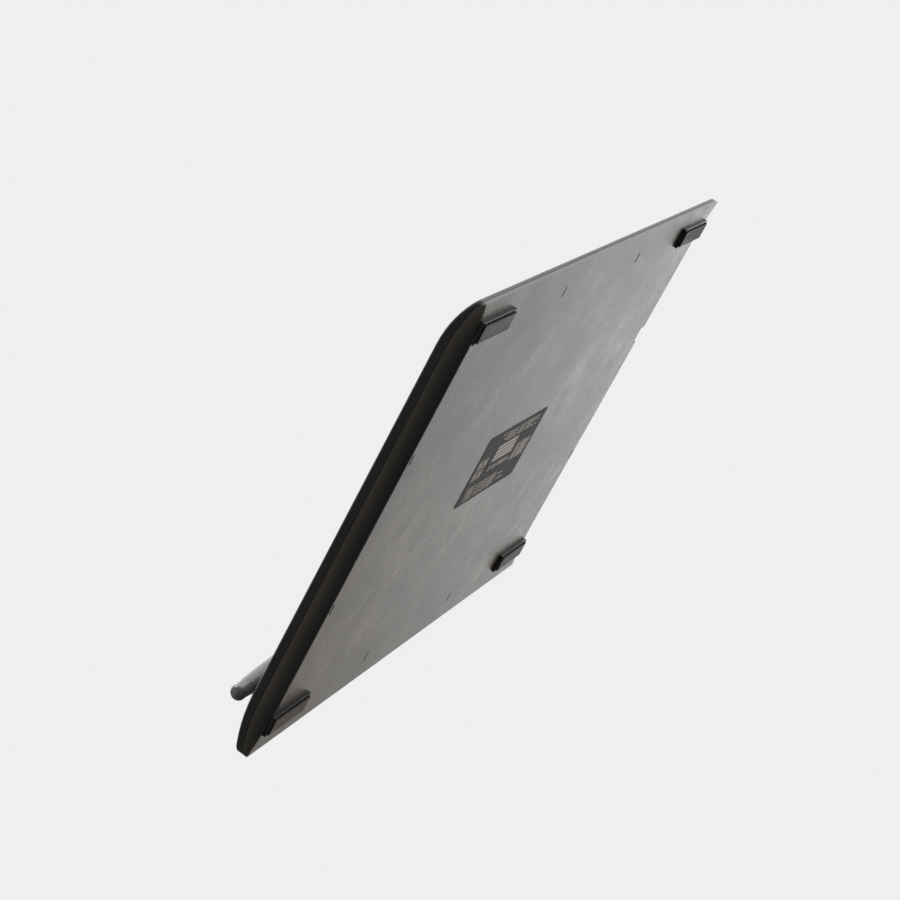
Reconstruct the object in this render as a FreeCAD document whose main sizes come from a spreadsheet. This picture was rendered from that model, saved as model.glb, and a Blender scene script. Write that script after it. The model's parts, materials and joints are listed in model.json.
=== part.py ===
import FreeCAD, Part
import os
import re
import Sketcher

# Pen drawing tablet with its battery-free pen. Millimetres, +Z up.
# The tablet lies flat on its feet: +X runs along the long side to the user's right,
# +Y from the user's edge to the far edge, and the drawing face looks up.
# The origin is at floor height, in the middle of the tablet.

doc = FreeCAD.newDocument("DrawingTablet")
V = FreeCAD.Vector

SIZES = {
    # tablet, overall
    "body_width": 264.0,        # along X
    "body_depth": 200.0,        # along Y
    "body_height": 8.6,         # from the back's flat plate to the drawing face
    "foot_height": 1.8,         # lifts the plate off the desk
    "corner_radius": 4.0,       # corners seen from above
    # arched side outline
    "near_arc": 25.0,           # length of the roll-off at the user's edge
    "far_arc": 21.0,            # length of the roll-off at the far edge
    "near_edge_height": 4.1,    # body height left at the user's edge
    "far_edge_height": 3.0,     # body height left at the far edge
    "shell_rim": 3.6,           # height of the front shell's rim along the middle of the sides
    "cover_rim": 1.6,           # height of the back cover's rim at the near and far edges
    "undercut": 9.4,            # how far the back cover's sides lean in under the rim
    "seam_gap": 0.2,            # open groove between the two shells
    "seam_depth": 0.5,          # how deep that groove goes
    "rim_radius": 0.8,          # rounding of the front shell's upper rim
    "wall": 1.6,                # both shells
    # drawing area
    "active_width": 208.0,
    "flat_margin": 4.0,         # flat strip between the near roll-off and the drawing area
    "far_margin": 41.0,         # from the drawing area to the far edge
    "sheet_border": 4.0,        # drawing sheet beyond the active area
    "sheet_thick": 0.5,
    # boards under the drawing sheet
    "board_border": 3.0,
    "board_thick": 0.8,
    "shield_thick": 0.3,
    "rib_thick": 1.2,
    "rib_count": 4.0,
    # express keys
    "key_width": 19.0,
    "key_depth": 7.0,
    "key_pitch": 22.0,
    "key_inner": 30.0,          # middle of the inner keys from the centre line
    "key_edge": 28.5,           # middle of the keys from the far edge
    "key_proud": 0.5,
    "key_flange": 1.0,
    "key_gap": 0.3,
    "key_travel": 0.4,
    "key_flange_thick": 0.8,
    "stem_radius": 1.5,
    "stem_length": 0.5,
    "dome_radius": 2.2,
    "dome_height": 0.7,
    "key_board_thick": 0.8,
    "pipe_radius": 1.0,
    # controller board and cable socket
    "port_row": 32.0,           # middle of the socket, towards the far edge from the centre
    "port_width": 8.4,          # recess along the side
    "port_height": 4.6,         # recess above the plate
    "port_roof": 0.9,
    "port_inset": 13.0,         # inner wall of the recess from the side of the tablet
    "socket_width": 7.4,
    "socket_height": 2.35,
    "socket_length": 5.6,
    "controller_length": 9.6,
    "controller_depth": 46.0,
    "chip_side": 7.0,
    "chip_from_port": 13.0,
    "chip_height": 1.0,
    "flex_thick": 0.15,
    "flex_width": 12.0,
    # rubber feet, label, latch windows
    "foot_length": 29.4,        # along X
    "foot_depth": 9.2,          # along Y
    "foot_side": 8.0,           # outer end of a foot from the side of the tablet
    "foot_edge": 8.1,           # outer side of a foot from the near or far edge
    "seat_height": 1.2,         # raised seat moulded round each foot
    "seat_rim": 0.7,            # width of the seat's rim
    "seat_round": 0.3,
    "pad_gap": 0.15,            # between the rim and the rubber
    "pad_thick": 1.3,
    "pad_bevel": 0.2,
    "label_width": 60.0,
    "label_depth": 34.0,
    "label_thick": 0.12,
    "latch_length": 4.6,
    "latch_width": 1.2,
    "latch_across": 40.8,       # latch windows of the near and far edges, from the centre line
    "latch_edge": 12.8,         # and from that edge
    "latch_along": 33.5,        # latch windows of the sides, from the centre line
    "latch_side": 11.3,         # and from that side
    "hook_clear": 0.25,
    # screws
    "screw_radius": 1.1,
    "screw_head_radius": 2.1,
    "screw_head_thick": 0.9,
    "screw_length": 5.4,
    "boss_radius": 2.9,
    "small_screw_radius": 0.8,
    "small_head_radius": 1.5,
    "small_head_thick": 0.3,
    "fit_clear": 0.05,
    # pen
    "pen_length": 145.0,
    "pen_radius": 5.5,          # at the grip
    "pen_tail_radius": 3.1,
    "pen_end_round": 1.3,
    "pen_end_dome": 0.4,
    "pen_waist_drop": 0.5,      # how much thinner the pen is where the two barrels meet
    "pen_nose_radius": 1.7,
    "pen_nose_base": 4.2,       # where the nose cone starts
    "rear_arc": 1100.0,         # curves of the pen's outline, from its tail on
    "grip_rear_arc": 650.0,
    "grip_front_arc": 380.0,
    "nose_arc": 240.0,
    "pen_wall": 1.3,
    "pen_cap_length": 7.5,
    "pen_grip_length": 57.0,    # front barrel without the nose cone
    "pen_nose_length": 20.0,
    "pen_row": 20.8,            # pen's axis from the user's edge
    "pen_end_gap": 0.5,         # pen's tail inside the tablet's right side
    "pen_lift_gap": 0.15,       # between the pen and the drawing face
    "pen_seam": 0.2,
    "nib_radius": 0.8,
    "nib_out": 1.6,
    "nib_length": 32.0,
    "nib_travel": 0.5,
    "nib_clear": 0.2,
    "rocker_length": 24.0,
    "rocker_width": 4.4,
    "rocker_thick": 1.8,
    "rocker_proud": 0.5,
    "rocker_gap": 0.4,
    "pivot_radius": 0.4,
    "rocker_back": 12.0,        # rear end of the rocker from the joint between the barrels
    "coil_length": 12.0,
    "coil_radius": 2.3,
    "pen_board_length": 50.0,
    "pen_board_width": 4.6,
    "pen_board_thick": 0.8,
    "sensor_length": 8.0,
}

sheet = doc.addObject("Spreadsheet::Sheet", "Sizes")
for row, (name, number) in enumerate(SIZES.items(), start=1):
    sheet.set(f"A{row}", name)
    sheet.set(f"B{row}", str(number))
    sheet.setAlias(f"B{row}", name)
doc.recompute()

# Places that several pieces share, written with the sizes above.
PLACES = {
    "plate": "foot_height",
    "face": "foot_height + body_height",
    "seam": "foot_height + body_height - shell_rim",
    "edge_seam": "foot_height + cover_rim",
    "near_top": "foot_height + near_edge_height",
    "far_top": "foot_height + far_edge_height",
    "half_width": "body_width / 2",
    "half_depth": "body_depth / 2",
    "floor_top": "foot_height + wall",
    "ceiling": "foot_height + body_height - wall - sheet_thick",
    "sheet_floor": "foot_height + body_height - sheet_thick",
    "active_margin": "near_arc + flat_margin",
    "active_depth": "body_depth - active_margin - far_margin",
    "key_row": "half_depth - key_edge",
    "active_mid": "active_margin + active_depth / 2 - body_depth / 2",
    "board_low": "foot_height + body_height - wall - sheet_thick - board_thick",
    "shield_low": "foot_height + body_height - wall - sheet_thick - board_thick - shield_thick",
    "lean": "undercut / (body_height - shell_rim - seam_gap)",
    "foot_x": "body_width / 2 - foot_side - foot_length / 2",
    "foot_y": "body_depth / 2 - foot_edge - foot_depth / 2",
    "seat_low": "foot_height - seat_height",
    "pad_length": "foot_length - 2 * seat_rim - 2 * pad_gap",
    "pad_depth": "foot_depth - 2 * seat_rim - 2 * pad_gap",
    "head_seat": "pad_thick + screw_head_thick + 2 * fit_clear",
    "port_wall": "port_inset - body_width / 2",
    "socket_top": "foot_height + wall + socket_height + fit_clear",
    "flange_low": "ceiling - fit_clear - key_flange_thick",
    "key_board_top": "flange_low - stem_length - key_travel - fit_clear - dome_height",
    "pen_y": "pen_row - body_depth / 2",
    "pen_z": "foot_height + body_height + pen_lift_gap + pen_radius",
    "pen_x": "body_width / 2 - pen_end_gap",
    "pen_waist_radius": "pen_radius - pen_waist_drop",
    "bore": "pen_waist_radius - pen_wall",
}
PLAIN = re.compile(r"[a-z][a-z_0-9]*")          # a written name


def tied(text):
    """An expression on the spreadsheet's cells, from one written with plain names."""
    def swap(found):
        word = found.group()
        if word in PLACES:
            return "(" + tied(PLACES[word]) + ")"
        return "Sizes." + word if word in SIZES else word
    return PLAIN.sub(swap, str(text))


def bind(item, prop, text):
    item.setExpression(prop, tied(text))


probe = doc.addObject("App::FeaturePython", "Probe")
probe.addProperty("App::PropertyFloat", "Value")


def worth(text):
    """The present value of an expression, for first positions and counts."""
    bind(probe, "Value", text)
    probe.recompute()
    return probe.Value


def put(item, x="0", y="0", z="0", rotation=None):
    if rotation:
        item.Placement = FreeCAD.Placement(V(0, 0, 0), rotation)
    bind(item, "Placement.Base.x", x)
    bind(item, "Placement.Base.y", y)
    bind(item, "Placement.Base.z", z)
    return item


def block(label, x, y, z):
    """A box between two expressions along each axis."""
    item = doc.addObject("Part::Box", label)
    for prop, (low, high) in zip(("Length", "Width", "Height"), (x, y, z)):
        bind(item, prop, f"({high}) - ({low})")
    return put(item, x[0], y[0], z[0])


def centred(label, x, y, length, width, z):
    """A box whose middle is at x, y."""
    return block(label, (f"{x} - ({length}) / 2", f"{x} + ({length}) / 2"),
                 (f"{y} - ({width}) / 2", f"{y} + ({width}) / 2"), z)


def rod(label, radius, x, y, z):
    """An upright cylinder between two heights."""
    item = doc.addObject("Part::Cylinder", label)
    bind(item, "Radius", radius)
    bind(item, "Height", f"({z[1]}) - ({z[0]})")
    return put(item, x, y, z[0])


def joined(label, parts):
    item = doc.addObject("Part::MultiFuse", label)
    item.Shapes = parts
    return item


def shared(label, parts):
    item = doc.addObject("Part::MultiCommon", label)
    item.Shapes = parts
    return item


def less(label, base, tools):
    item = doc.addObject("Part::Cut", label)
    item.Base = base
    item.Tool = tools[0] if len(tools) == 1 else joined(label + "_tools", tools)
    return item


def grouped(label, parts):
    item = doc.addObject("Part::Compound", label)
    item.Links = parts
    return item


def upright_edges(shape):
    """Numbers of the straight edges along Z."""
    found = []
    for number, edge in enumerate(shape.Edges, start=1):
        ends = [v.Point for v in edge.Vertexes]
        if len(ends) == 2 and (ends[1] - ends[0]).cross(V(0, 0, 1)).Length < 1e-6:
            found.append(number)
    return found


def rounded(label, base, numbers, radius):
    doc.recompute()
    item = doc.addObject("Part::Fillet", label)
    item.Base = base
    item.Edges = [(number, worth(radius), worth(radius)) for number in numbers]
    return item


def top_edges(shape):
    """Numbers of the edges round the highest face."""
    high = shape.BoundBox.ZMax
    return [number for number, edge in enumerate(shape.Edges, start=1)
            if edge.CenterOfMass.z > high - 1e-4]


def slab(label, inset, z):
    """The tablet's plan, with round corners, drawn in by inset."""
    base = centred(label + "_block", "0", "0", f"body_width - 2 * ({inset})",
                   f"body_depth - 2 * ({inset})", z)
    doc.recompute()
    return rounded(label, base, upright_edges(base.Shape), f"max(corner_radius - ({inset}); 0.5)")


def end_at(sketch, geometry, point):
    """1 or 2: which end of a curve lies at a point."""
    return 1 if (sketch.getPoint(geometry, 1) - point).Length < 1e-5 else 2


def arch(label, low, mid, near, far, half="half_depth", near_run="near_arc", far_run="far_arc"):
    """A sketch in the YZ plane: flat below, and above it a flat that rolls off to each edge.

    The roll-offs are arcs tangent to the flat. Sketch X is the tablet's Y, sketch Y is Z.
    """
    sketch = doc.addObject("Sketcher::SketchObject", label)
    sketch.Placement = FreeCAD.Placement(V(0, 0, 0), FreeCAD.Rotation(V(1, 1, 1), 120))
    y, z0, z1, zn, zf = (worth(t) for t in (half, low, mid, near, far))
    yn, yf = -y + worth(near_run), y - worth(far_run)
    corners = [V(-y, z0, 0), V(y, z0, 0), V(y, zf, 0), V(yf, z1, 0), V(yn, z1, 0), V(-y, zn, 0)]

    def roll(a, flat_y, edge):
        """Arc through the flat's end and the edge, centred below the flat's end."""
        run, drop = abs(edge.x - flat_y), z1 - edge.y
        size = (run * run + drop * drop) / (2 * drop)
        middle = V(flat_y, z1 - size, 0)
        side = 1 if edge.x > flat_y else -1
        turn = FreeCAD.Vector(side * run, edge.y - middle.y, 0)
        half_way = (V(0, size, 0) + turn).normalize() * size
        return Part.Arc(a[0], middle + half_way, a[1])

    lines = [(0, 1), (1, 2), None, (3, 4), None, (5, 0)]
    for index, ends in enumerate(lines):
        if ends:
            sketch.addGeometry(Part.LineSegment(corners[ends[0]], corners[ends[1]]), False)
        elif index == 2:
            sketch.addGeometry(roll((corners[3], corners[2]), yf, corners[2]), False)
        else:
            sketch.addGeometry(roll((corners[4], corners[5]), yn, corners[5]), False)

    def add(*rule):
        return sketch.addConstraint(Sketcher.Constraint(*rule))

    for curve, following, corner in ((0, 1, 1), (1, 2, 2), (4, 5, 5), (5, 0, 0)):
        add("Coincident", curve, end_at(sketch, curve, corners[corner]),
            following, end_at(sketch, following, corners[corner]))
    for curve, following, corner in ((2, 3, 3), (3, 4, 4)):
        add("Tangent", curve, end_at(sketch, curve, corners[corner]),
            following, end_at(sketch, following, corners[corner]))
    for curve in (0, 3):
        add("Horizontal", curve)
    for curve in (1, 5):
        add("Vertical", curve)
    rules = [
        ("DistanceX", -1, 1, 0, 2, y, half), ("DistanceX", 0, 1, -1, 1, y, half),
        ("DistanceY", -1, 1, 0, 1, z0, low), ("DistanceY", -1, 1, 3, 1, z1, mid),
        ("DistanceX", 3, 1, 0, 2, y - yf, far_run), ("DistanceX", 0, 1, 3, 2, yn + y, near_run),
        ("DistanceY", -1, 1, 1, 2, zf, far), ("DistanceY", -1, 1, 5, 1, zn, near),
    ]
    for kind, a, pa, b, pb, number, text in rules:
        place = add(kind, a, pa, b, pb, number)
        sketch.setExpression(f"Constraints[{place}]", tied(text))
    return sketch


def drawn_out(label, sketch, direction, length, x="0"):
    """A sketch extruded along a direction."""
    item = doc.addObject("Part::Extrusion", label)
    item.Base = sketch
    item.DirMode = "Custom"
    item.Dir = direction
    bind(item, "LengthFwd", length)
    item.Solid = True
    bind(item, "Placement.Base.x", x)
    return item


def across(label, sketch):
    """An arch sketch drawn out over the tablet's whole width."""
    return drawn_out(label, sketch, V(1, 0, 0), "body_width + 8", "-half_width - 4")


def body(label):
    item = doc.addObject("PartDesign::Body", label)
    item.Label = label
    return item


def origin_plane(owner, role):
    return next(f for f in owner.Origin.OriginFeatures if f.Role == role)


def outward_arc(start, end, radius):
    """An arc between two points that bulges to the left of the way from one to the other."""
    chord = end - start
    half = chord.Length / 2
    left = V(-chord.y, chord.x, 0).normalize()
    rise = radius - (radius * radius - half * half) ** 0.5
    return Part.Arc(start, start + chord * 0.5 + left * rise, end)


def outline(owner, label, points, plane="XY_Plane", height="0"):
    """A closed sketch in a body, each corner tied to two expressions.

    A third entry in a point is the radius of an arc from it to the next point.
    """
    sketch = owner.newObject("Sketcher::SketchObject", label)
    sketch.AttachmentSupport = [(origin_plane(owner, plane), "")]
    sketch.MapMode = "FlatFace"
    bind(sketch, "AttachmentOffset.Base.z", height)
    corners = [V(worth(point[0]), worth(point[1]), 0) for point in points]
    for index, corner in enumerate(corners):
        following = corners[(index + 1) % len(corners)]
        if len(points[index]) == 3:
            curve = outward_arc(corner, following, worth(points[index][2]))
        else:
            curve = Part.LineSegment(corner, following)
        sketch.addGeometry(curve, False)
    for index, point in enumerate(points):
        following = (index + 1) % len(points)
        joint_at = corners[following]
        sketch.addConstraint(Sketcher.Constraint(
            "Coincident", index, end_at(sketch, index, joint_at),
            following, end_at(sketch, following, joint_at)))
    for index, point in enumerate(points):
        start = end_at(sketch, index, corners[index])
        rules = [("DistanceX", -1, 1, index, start, corners[index].x, point[0]),
                 ("DistanceY", -1, 1, index, start, corners[index].y, point[1])]
        if len(point) == 3:
            rules.append(("Radius", index, worth(point[2]), point[2]))
        for rule in rules:
            place = sketch.addConstraint(Sketcher.Constraint(*rule[:-1]))
            sketch.setExpression(f"Constraints[{place}]", tied(rule[-1]))
    return sketch


def rectangle(length, width):
    half_l, half_w = f"({length}) / 2", f"({width}) / 2"
    return [(f"-{half_l}", f"-{half_w}"), (half_l, f"-{half_w}"), (half_l, half_w),
            (f"-{half_l}", half_w)]


def pad(owner, label, sketch, length, taper="0", reverse=False):
    item = owner.newObject("PartDesign::Pad", label)
    item.Profile = sketch
    bind(item, "Length", length)
    bind(item, "TaperAngle", taper)
    item.Reversed = reverse
    return item


def soften(owner, label, radius):
    """Rounds the upright edges of a body's last feature."""
    doc.recompute()
    base = owner.Tip
    item = owner.newObject("PartDesign::Fillet", label)
    item.Base = (base, [f"Edge{n}" for n in upright_edges(base.Shape)])
    bind(item, "Radius", radius)
    return item


def plate_body(label, x, y, z, length, width, thick, radius=None):
    """A flat rectangular piece whose lowest face is at z."""
    owner = body(label)
    sketch = outline(owner, label + "_outline", rectangle(length, width))
    pad(owner, label + "_pad", sketch, thick)
    if radius:
        soften(owner, label + "_corners", radius)
    return put(owner, x, y, z)


def turned(label, points):
    """A piece turned about the pen's axis; the stations are measured from the pen's tail."""
    owner = body(label)
    sketch = outline(owner, label + "_profile", points, "XZ_Plane")
    item = owner.newObject("PartDesign::Revolution", label + "_turn")
    item.Profile = sketch
    item.ReferenceAxis = (sketch, ["H_Axis"])
    item.Angle = 360
    return put(owner, "pen_x", "pen_y", "pen_z", FreeCAD.Rotation(V(0, 0, 1), 180))


# ---- tablet: the two shells ---------------------------------------------------------------

SIDES = (("left", -1), ("right", 1))
EDGES = (("near", -1), ("far", 1))
parts = []


def keep(item, label):
    item.Label = label
    parts.append(item)
    return item


def leaning_wedge(label, sign, inward):
    """What lies outside a leaning side wall: the region under the groove, drawn out slantwise.

    A point on the seam line runs inward and down along the wall, so the wall keeps its
    angle where the seam rolls off, and fades out towards the near and far edges.
    """
    reach = "body_height"
    item = doc.addObject("Part::Extrusion", label)
    item.Base = groove_region
    item.DirMode = "Custom"
    item.Dir = V(-sign * worth("lean"), 0, -1)
    bind(item, "Dir.x", f"{-sign} * (lean)")
    bind(item, "LengthFwd", f"({reach}) * sqrt(1 + (lean) * (lean))")
    item.Solid = True
    bind(item, "Placement.Base.x", f"{sign} * (half_width - ({inward}))")
    return item


seam_region = arch("seam_region", "plate - body_height", "seam", "edge_seam", "edge_seam",
                   "half_depth + 0.01")
seam_prism = across("seam_prism", seam_region)
groove_region = arch("groove_region", "plate - body_height", "seam - seam_gap",
                     "edge_seam - seam_gap", "edge_seam - seam_gap", "half_depth + 0.01")
groove_prism = across("groove_prism", groove_region)
top_region = arch("top_region", "plate", "face", "near_top", "far_top")
envelope = shared("envelope", [across("top_prism", top_region),
                               slab("plan", "0", ("plate - 1", "face + 1"))])
inner_envelope = shared("inner_envelope", [across("groove_core", top_region),
                                           slab("groove_plan", "seam_depth",
                                                ("plate - 1", "face + 1"))])

# Back cover: everything under the seam, less the leaning side walls.
outer_wedges = [leaning_wedge(f"lean_{name}", sign, "0") for name, sign in SIDES]
cover_outside = shared("cover_outside", [envelope, groove_prism])
cover_inside = shared("cover_inside", [inner_envelope, seam_prism])
cover_body = less("cover_body", joined("cover_whole", [cover_outside, cover_inside]),
                  outer_wedges)

# Its hollow: a box above the floor, kept one wall thickness off the leaning sides.
wall_run = "wall * sqrt(1 + (lean) * (lean))"
cover_box = slab("cover_hollow_box", "wall + seam_depth", ("floor_top", "face"))
cover_room = shared("cover_room", [cover_box, block(
    "cover_room_width", (f"{wall_run} - half_width", f"half_width - {wall_run}"),
    ("-half_depth", "half_depth"), ("plate", "face + 1"))])
cover_hollow = less("cover_hollow", cover_room,
                    [leaning_wedge(f"hollow_lean_{name}", sign, wall_run) for name, sign in SIDES])

# Cable recess in the left side, open below and outwards, with a wall of its own inside.
port_block = block("port_block", ("-half_width + wall + 0.2", "port_wall + wall"),
                   ("port_row - port_width / 2 - wall", "port_row + port_width / 2 + wall"),
                   ("plate", "plate + port_height + port_roof"))
port_walls = less("port_walls", port_block,
                  [leaning_wedge("port_lean", -1, "0")])
port_cut = block("port_cut", ("-half_width - 1", "port_wall"),
                 ("port_row - port_width / 2", "port_row + port_width / 2"),
                 ("plate - 1", "plate + port_height"))
socket_cut = block("socket_cut", ("port_wall - 1", "port_wall + wall + 1"),
                   ("port_row - socket_width / 2 - fit_clear",
                    "port_row + socket_width / 2 + fit_clear"),
                   ("socket_top - socket_height - fit_clear", "socket_top + fit_clear"))

# Ribs that carry the shield plate, and posts that carry the two small boards.
rib_first = "active_mid - active_depth / 2 + 6"
rib_last = "active_mid + active_depth / 2 - 6"


def rib(index):
    count = int(worth("rib_count"))
    row = f"({rib_first}) + (({rib_last}) - ({rib_first})) * {index} / {max(count - 1, 1)}"
    return centred(f"rib_{index}", "0", row, "active_width - 16", "rib_thick",
                   ("floor_top - 0.1", "shield_low"))


ribs = [rib(index) for index in range(int(worth("rib_count")))]
controller_x = "port_wall + wall + controller_length / 2"
controller_spots = [(controller_x, f"port_row + {b} * (controller_depth / 2 - 2.6)") for b in (-1, 1)]
controller_posts = [rod(f"controller_post_{n}", "small_screw_radius + 1.2", x, y,
                        ("floor_top - 0.1", "socket_top"))
                    for n, (x, y) in enumerate(controller_spots)]
controller_holes = [rod(f"controller_hole_{n}", "small_screw_radius + fit_clear", x, y,
                        ("floor_top + 0.4", "socket_top + 0.1"))
                    for n, (x, y) in enumerate(controller_spots)]
key_board_width = "2 * key_inner + 2 * key_pitch + key_width + 12"
key_board_depth = "key_depth + 2 * key_flange + 6"
key_spots = [(f"{a} * (({key_board_width}) / 2 - 3)", f"key_row + {b} * (({key_board_depth}) / 2 - 3)")
             for a in (-1, 1) for b in (-1, 1)]
key_posts = [rod(f"key_post_{n}", "2", x, y, ("floor_top - 0.1", "key_board_top - key_board_thick"))
             for n, (x, y) in enumerate(key_spots)]

# Latch windows through the floor, and the screw holes that the feet cover.
# The cable recess takes the place of the far latch of the left side.
latch_spots = [(f"{a} * latch_across", f"{b} * (half_depth - latch_edge)")
               for a in (-1, 1) for b in (-1, 1)]
latch_spots += [(f"{a} * (half_width - latch_side)", f"{b} * latch_along")
                for a, b in ((-1, -1), (1, -1), (1, 1))]
latch_cuts = [centred(f"latch_cut_{n}", x, y, "latch_width", "latch_length",
                      ("plate - 1", "floor_top + 1"))
              for n, (x, y) in enumerate(latch_spots)]
foot_names = [f"{edge}_{side}" for side, a in SIDES for edge, b in EDGES]
foot_spots = [(f"{a} * (foot_x)", f"{b} * (foot_y)") for side, a in SIDES for edge, b in EDGES]
screw_holes = [rod(f"screw_hole_{n}", "screw_radius + 0.25", x, y, ("plate - 1", "floor_top + 1"))
               for n, (x, y) in enumerate(foot_spots)]
head_seats = [rod(f"head_seat_{n}", "screw_head_radius + 0.25", x, y, ("plate - 1", "head_seat"))
              for n, (x, y) in enumerate(foot_spots)]


def foot_seat(name, x, y):
    """The raised seat round a foot, with its upright and lower edges rounded."""
    base = centred(f"seat_block_{name}", x, y, "foot_length", "foot_depth",
                   ("seat_low", "plate + 0.8"))
    doc.recompute()
    low = base.Shape.BoundBox.ZMin
    numbers = [n for n, edge in enumerate(base.Shape.Edges, start=1)
               if min(v.Point.z for v in edge.Vertexes) < low + 1e-6]
    return rounded(f"seat_{name}", base, numbers, "seat_round")


seats = [foot_seat(name, x, y) for name, (x, y) in zip(foot_names, foot_spots)]
pockets = [centred(f"pocket_{name}", x, y, "pad_length + 2 * pad_gap", "pad_depth + 2 * pad_gap",
                   ("seat_low - 1", "pad_thick"))
           for name, (x, y) in zip(foot_names, foot_spots)]

cover_tray = less("cover_tray", cover_body, [cover_hollow])
cover_fitted = joined("cover_fitted", [cover_tray, port_walls] + seats + ribs
                      + controller_posts + key_posts)
keep(less("back_cover_cut", cover_fitted, [port_cut, socket_cut] + pockets + latch_cuts
          + screw_holes + head_seats + controller_holes), "back_cover")

# Front shell: everything above the seam, hollow below, with a shallow bed for the sheet.
shell_block = less("shell_block", envelope, [seam_prism])
doc.recompute()


def rim_edges(shape):
    """Edges of the upper rim: on the outer plan, and well above the seam."""
    half_x, half_y = worth("half_width"), worth("half_depth")
    radius = worth("corner_radius")
    found = []
    for number, edge in enumerate(shape.Edges, start=1):
        low, high = edge.ParameterRange
        spots = [edge.valueAt(low + (high - low) * share) for share in (0.02, 0.5, 0.98)]

        def outside(spot):
            x, y = abs(spot.x), abs(spot.y)
            in_corner = x > half_x - radius and y > half_y - radius
            if in_corner:
                return abs(((x - half_x + radius) ** 2 + (y - half_y + radius) ** 2) ** 0.5
                           - radius) < 1e-3
            return abs(x - half_x) < 1e-4 or abs(y - half_y) < 1e-4

        upright = (spots[0] - spots[2]).cross(V(0, 0, 1)).Length < 1e-4
        if upright or not all(outside(spot) for spot in spots):
            continue
        roof = [top_at(spot.y) for spot in spots]
        if all(abs(spot.z - z) < 1e-3 for spot, z in zip(spots, roof)):
            found.append(number)
    return found


def top_at(y):
    """Height of the arched top at y."""
    face, half_y = worth("face"), worth("half_depth")
    for run, edge, sign in (("near_arc", "near_top", -1), ("far_arc", "far_top", 1)):
        start = half_y - worth(run)
        past = sign * y - start
        if past > 0:
            drop = face - worth(edge)
            size = (worth(run) ** 2 + drop ** 2) / (2 * drop)
            return face - size + (size * size - past * past) ** 0.5
    return face


shell_rounded = rounded("shell_rounded", shell_block, rim_edges(shell_block.Shape), "rim_radius")

# The ceiling follows the arched top one wall thickness below it.
inner_region = arch("inner_region", "plate - 1", "ceiling", "near_top - wall", "far_top - wall",
                    "half_depth - wall", "near_arc - wall", "far_arc - wall")
shell_hollow = shared("shell_hollow", [across("inner_prism", inner_region),
                                       slab("inner_plan", "wall", ("plate - 2", "face"))])
sheet_bed = centred("sheet_bed", "0", "active_mid", "active_width + 2 * sheet_border",
                    "active_depth + 2 * sheet_border", ("sheet_floor", "face + 1"))
key_places = [f"{sign} * (key_inner + key_pitch * {step})" for sign, step in
              ((-1, 1), (-1, 0), (1, 0), (1, 1))]
key_windows = [centred(f"key_window_{n}", x, "key_row", "key_width + 2 * key_gap",
                       "key_depth + 2 * key_gap", ("ceiling - 1", "face + 1"))
               for n, x in enumerate(key_places)]
pipe_window = rod("pipe_window", "pipe_radius + fit_clear", "0", "key_row",
                  ("ceiling - 1", "face + 1"))
bosses = [rod(f"boss_{n}", "boss_radius", x, y, ("floor_top", "near_top"))
          for n, (x, y) in enumerate(foot_spots)]
boss_roots = [rod(f"boss_root_{n}", "boss_radius", x, y, ("near_top - 1", "ceiling + 0.2"))
              for n, (x, y) in enumerate(foot_spots)]
boss_columns = shared("boss_columns", [joined("boss_all", bosses + boss_roots), envelope])
hooks = [centred(f"hook_{n}", x, y, "latch_width - 2 * hook_clear",
                 "latch_length - 2 * hook_clear", ("floor_top - wall / 2", "ceiling + 0.2"))
         for n, (x, y) in enumerate(latch_spots)]
hook_columns = shared("hook_columns", [joined("hook_all", hooks), envelope])
pilots = [rod(f"pilot_{n}", "screw_radius + fit_clear", x, y,
              ("floor_top - 1", "head_seat + screw_length + fit_clear"))
          for n, (x, y) in enumerate(foot_spots)]
shell_open = less("shell_open", shell_rounded, [shell_hollow])
shell_fitted = joined("shell_fitted", [shell_open, boss_columns, hook_columns])
keep(less("front_shell_cut", shell_fitted, [sheet_bed, pipe_window] + key_windows + pilots),
     "front_shell")

# ---- tablet: what shows outside -----------------------------------------------------------

keep(plate_body("drawing_sheet", "0", "active_mid", "sheet_floor",
                "active_width + 2 * sheet_border - 2 * fit_clear",
                "active_depth + 2 * sheet_border - 2 * fit_clear", "sheet_thick"), "drawing_sheet")
keep(plate_body("rating_label", "0", "0", "plate - label_thick", "label_width", "label_depth",
                "label_thick", "1.2"), "rating_label")


def rubber_foot(label, x, y):
    """A pad let into its seat, with a small bevel round the sole."""
    owner = body(label)
    upper = outline(owner, label + "_outline", rectangle("pad_length", "pad_depth"),
                    height="pad_thick")
    pad(owner, label + "_pad", upper, "pad_thick - pad_bevel", reverse=True)
    soften(owner, label + "_corners", "0.4")
    sole = outline(owner, label + "_sole", rectangle("pad_length - 0.1", "pad_depth - 0.1"),
                   height="pad_bevel")
    pad(owner, label + "_sole_pad", sole, "pad_bevel", "-45", reverse=True)
    return put(owner, x, y, "0")


for name, (x, y) in zip(foot_names, foot_spots):
    keep(rubber_foot(f"foot_{name}", x, y), f"foot_{name}")

# ---- tablet: boards and electronics -------------------------------------------------------

board_length, board_depth = "active_width + 2 * board_border", "active_depth + 2 * board_border"
keep(plate_body("sensor_board", "0", "active_mid", "board_low", board_length, board_depth,
                "board_thick", "2"), "sensor_board")
shield_block = centred("shield_block", "0", "active_mid", board_length, board_depth,
                       ("shield_low", "board_low"))
sensor_left = f"(-({board_length}) / 2)"
shield_window = block("shield_window", (f"{sensor_left} - 1", f"{sensor_left} + 5"),
                      ("port_row - flex_width / 2 - 1", "port_row + flex_width / 2 + 1"),
                      ("shield_low - 1", "board_low + 1"))
keep(less("shield_cut", shield_block, [shield_window]), "shield_plate")

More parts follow.
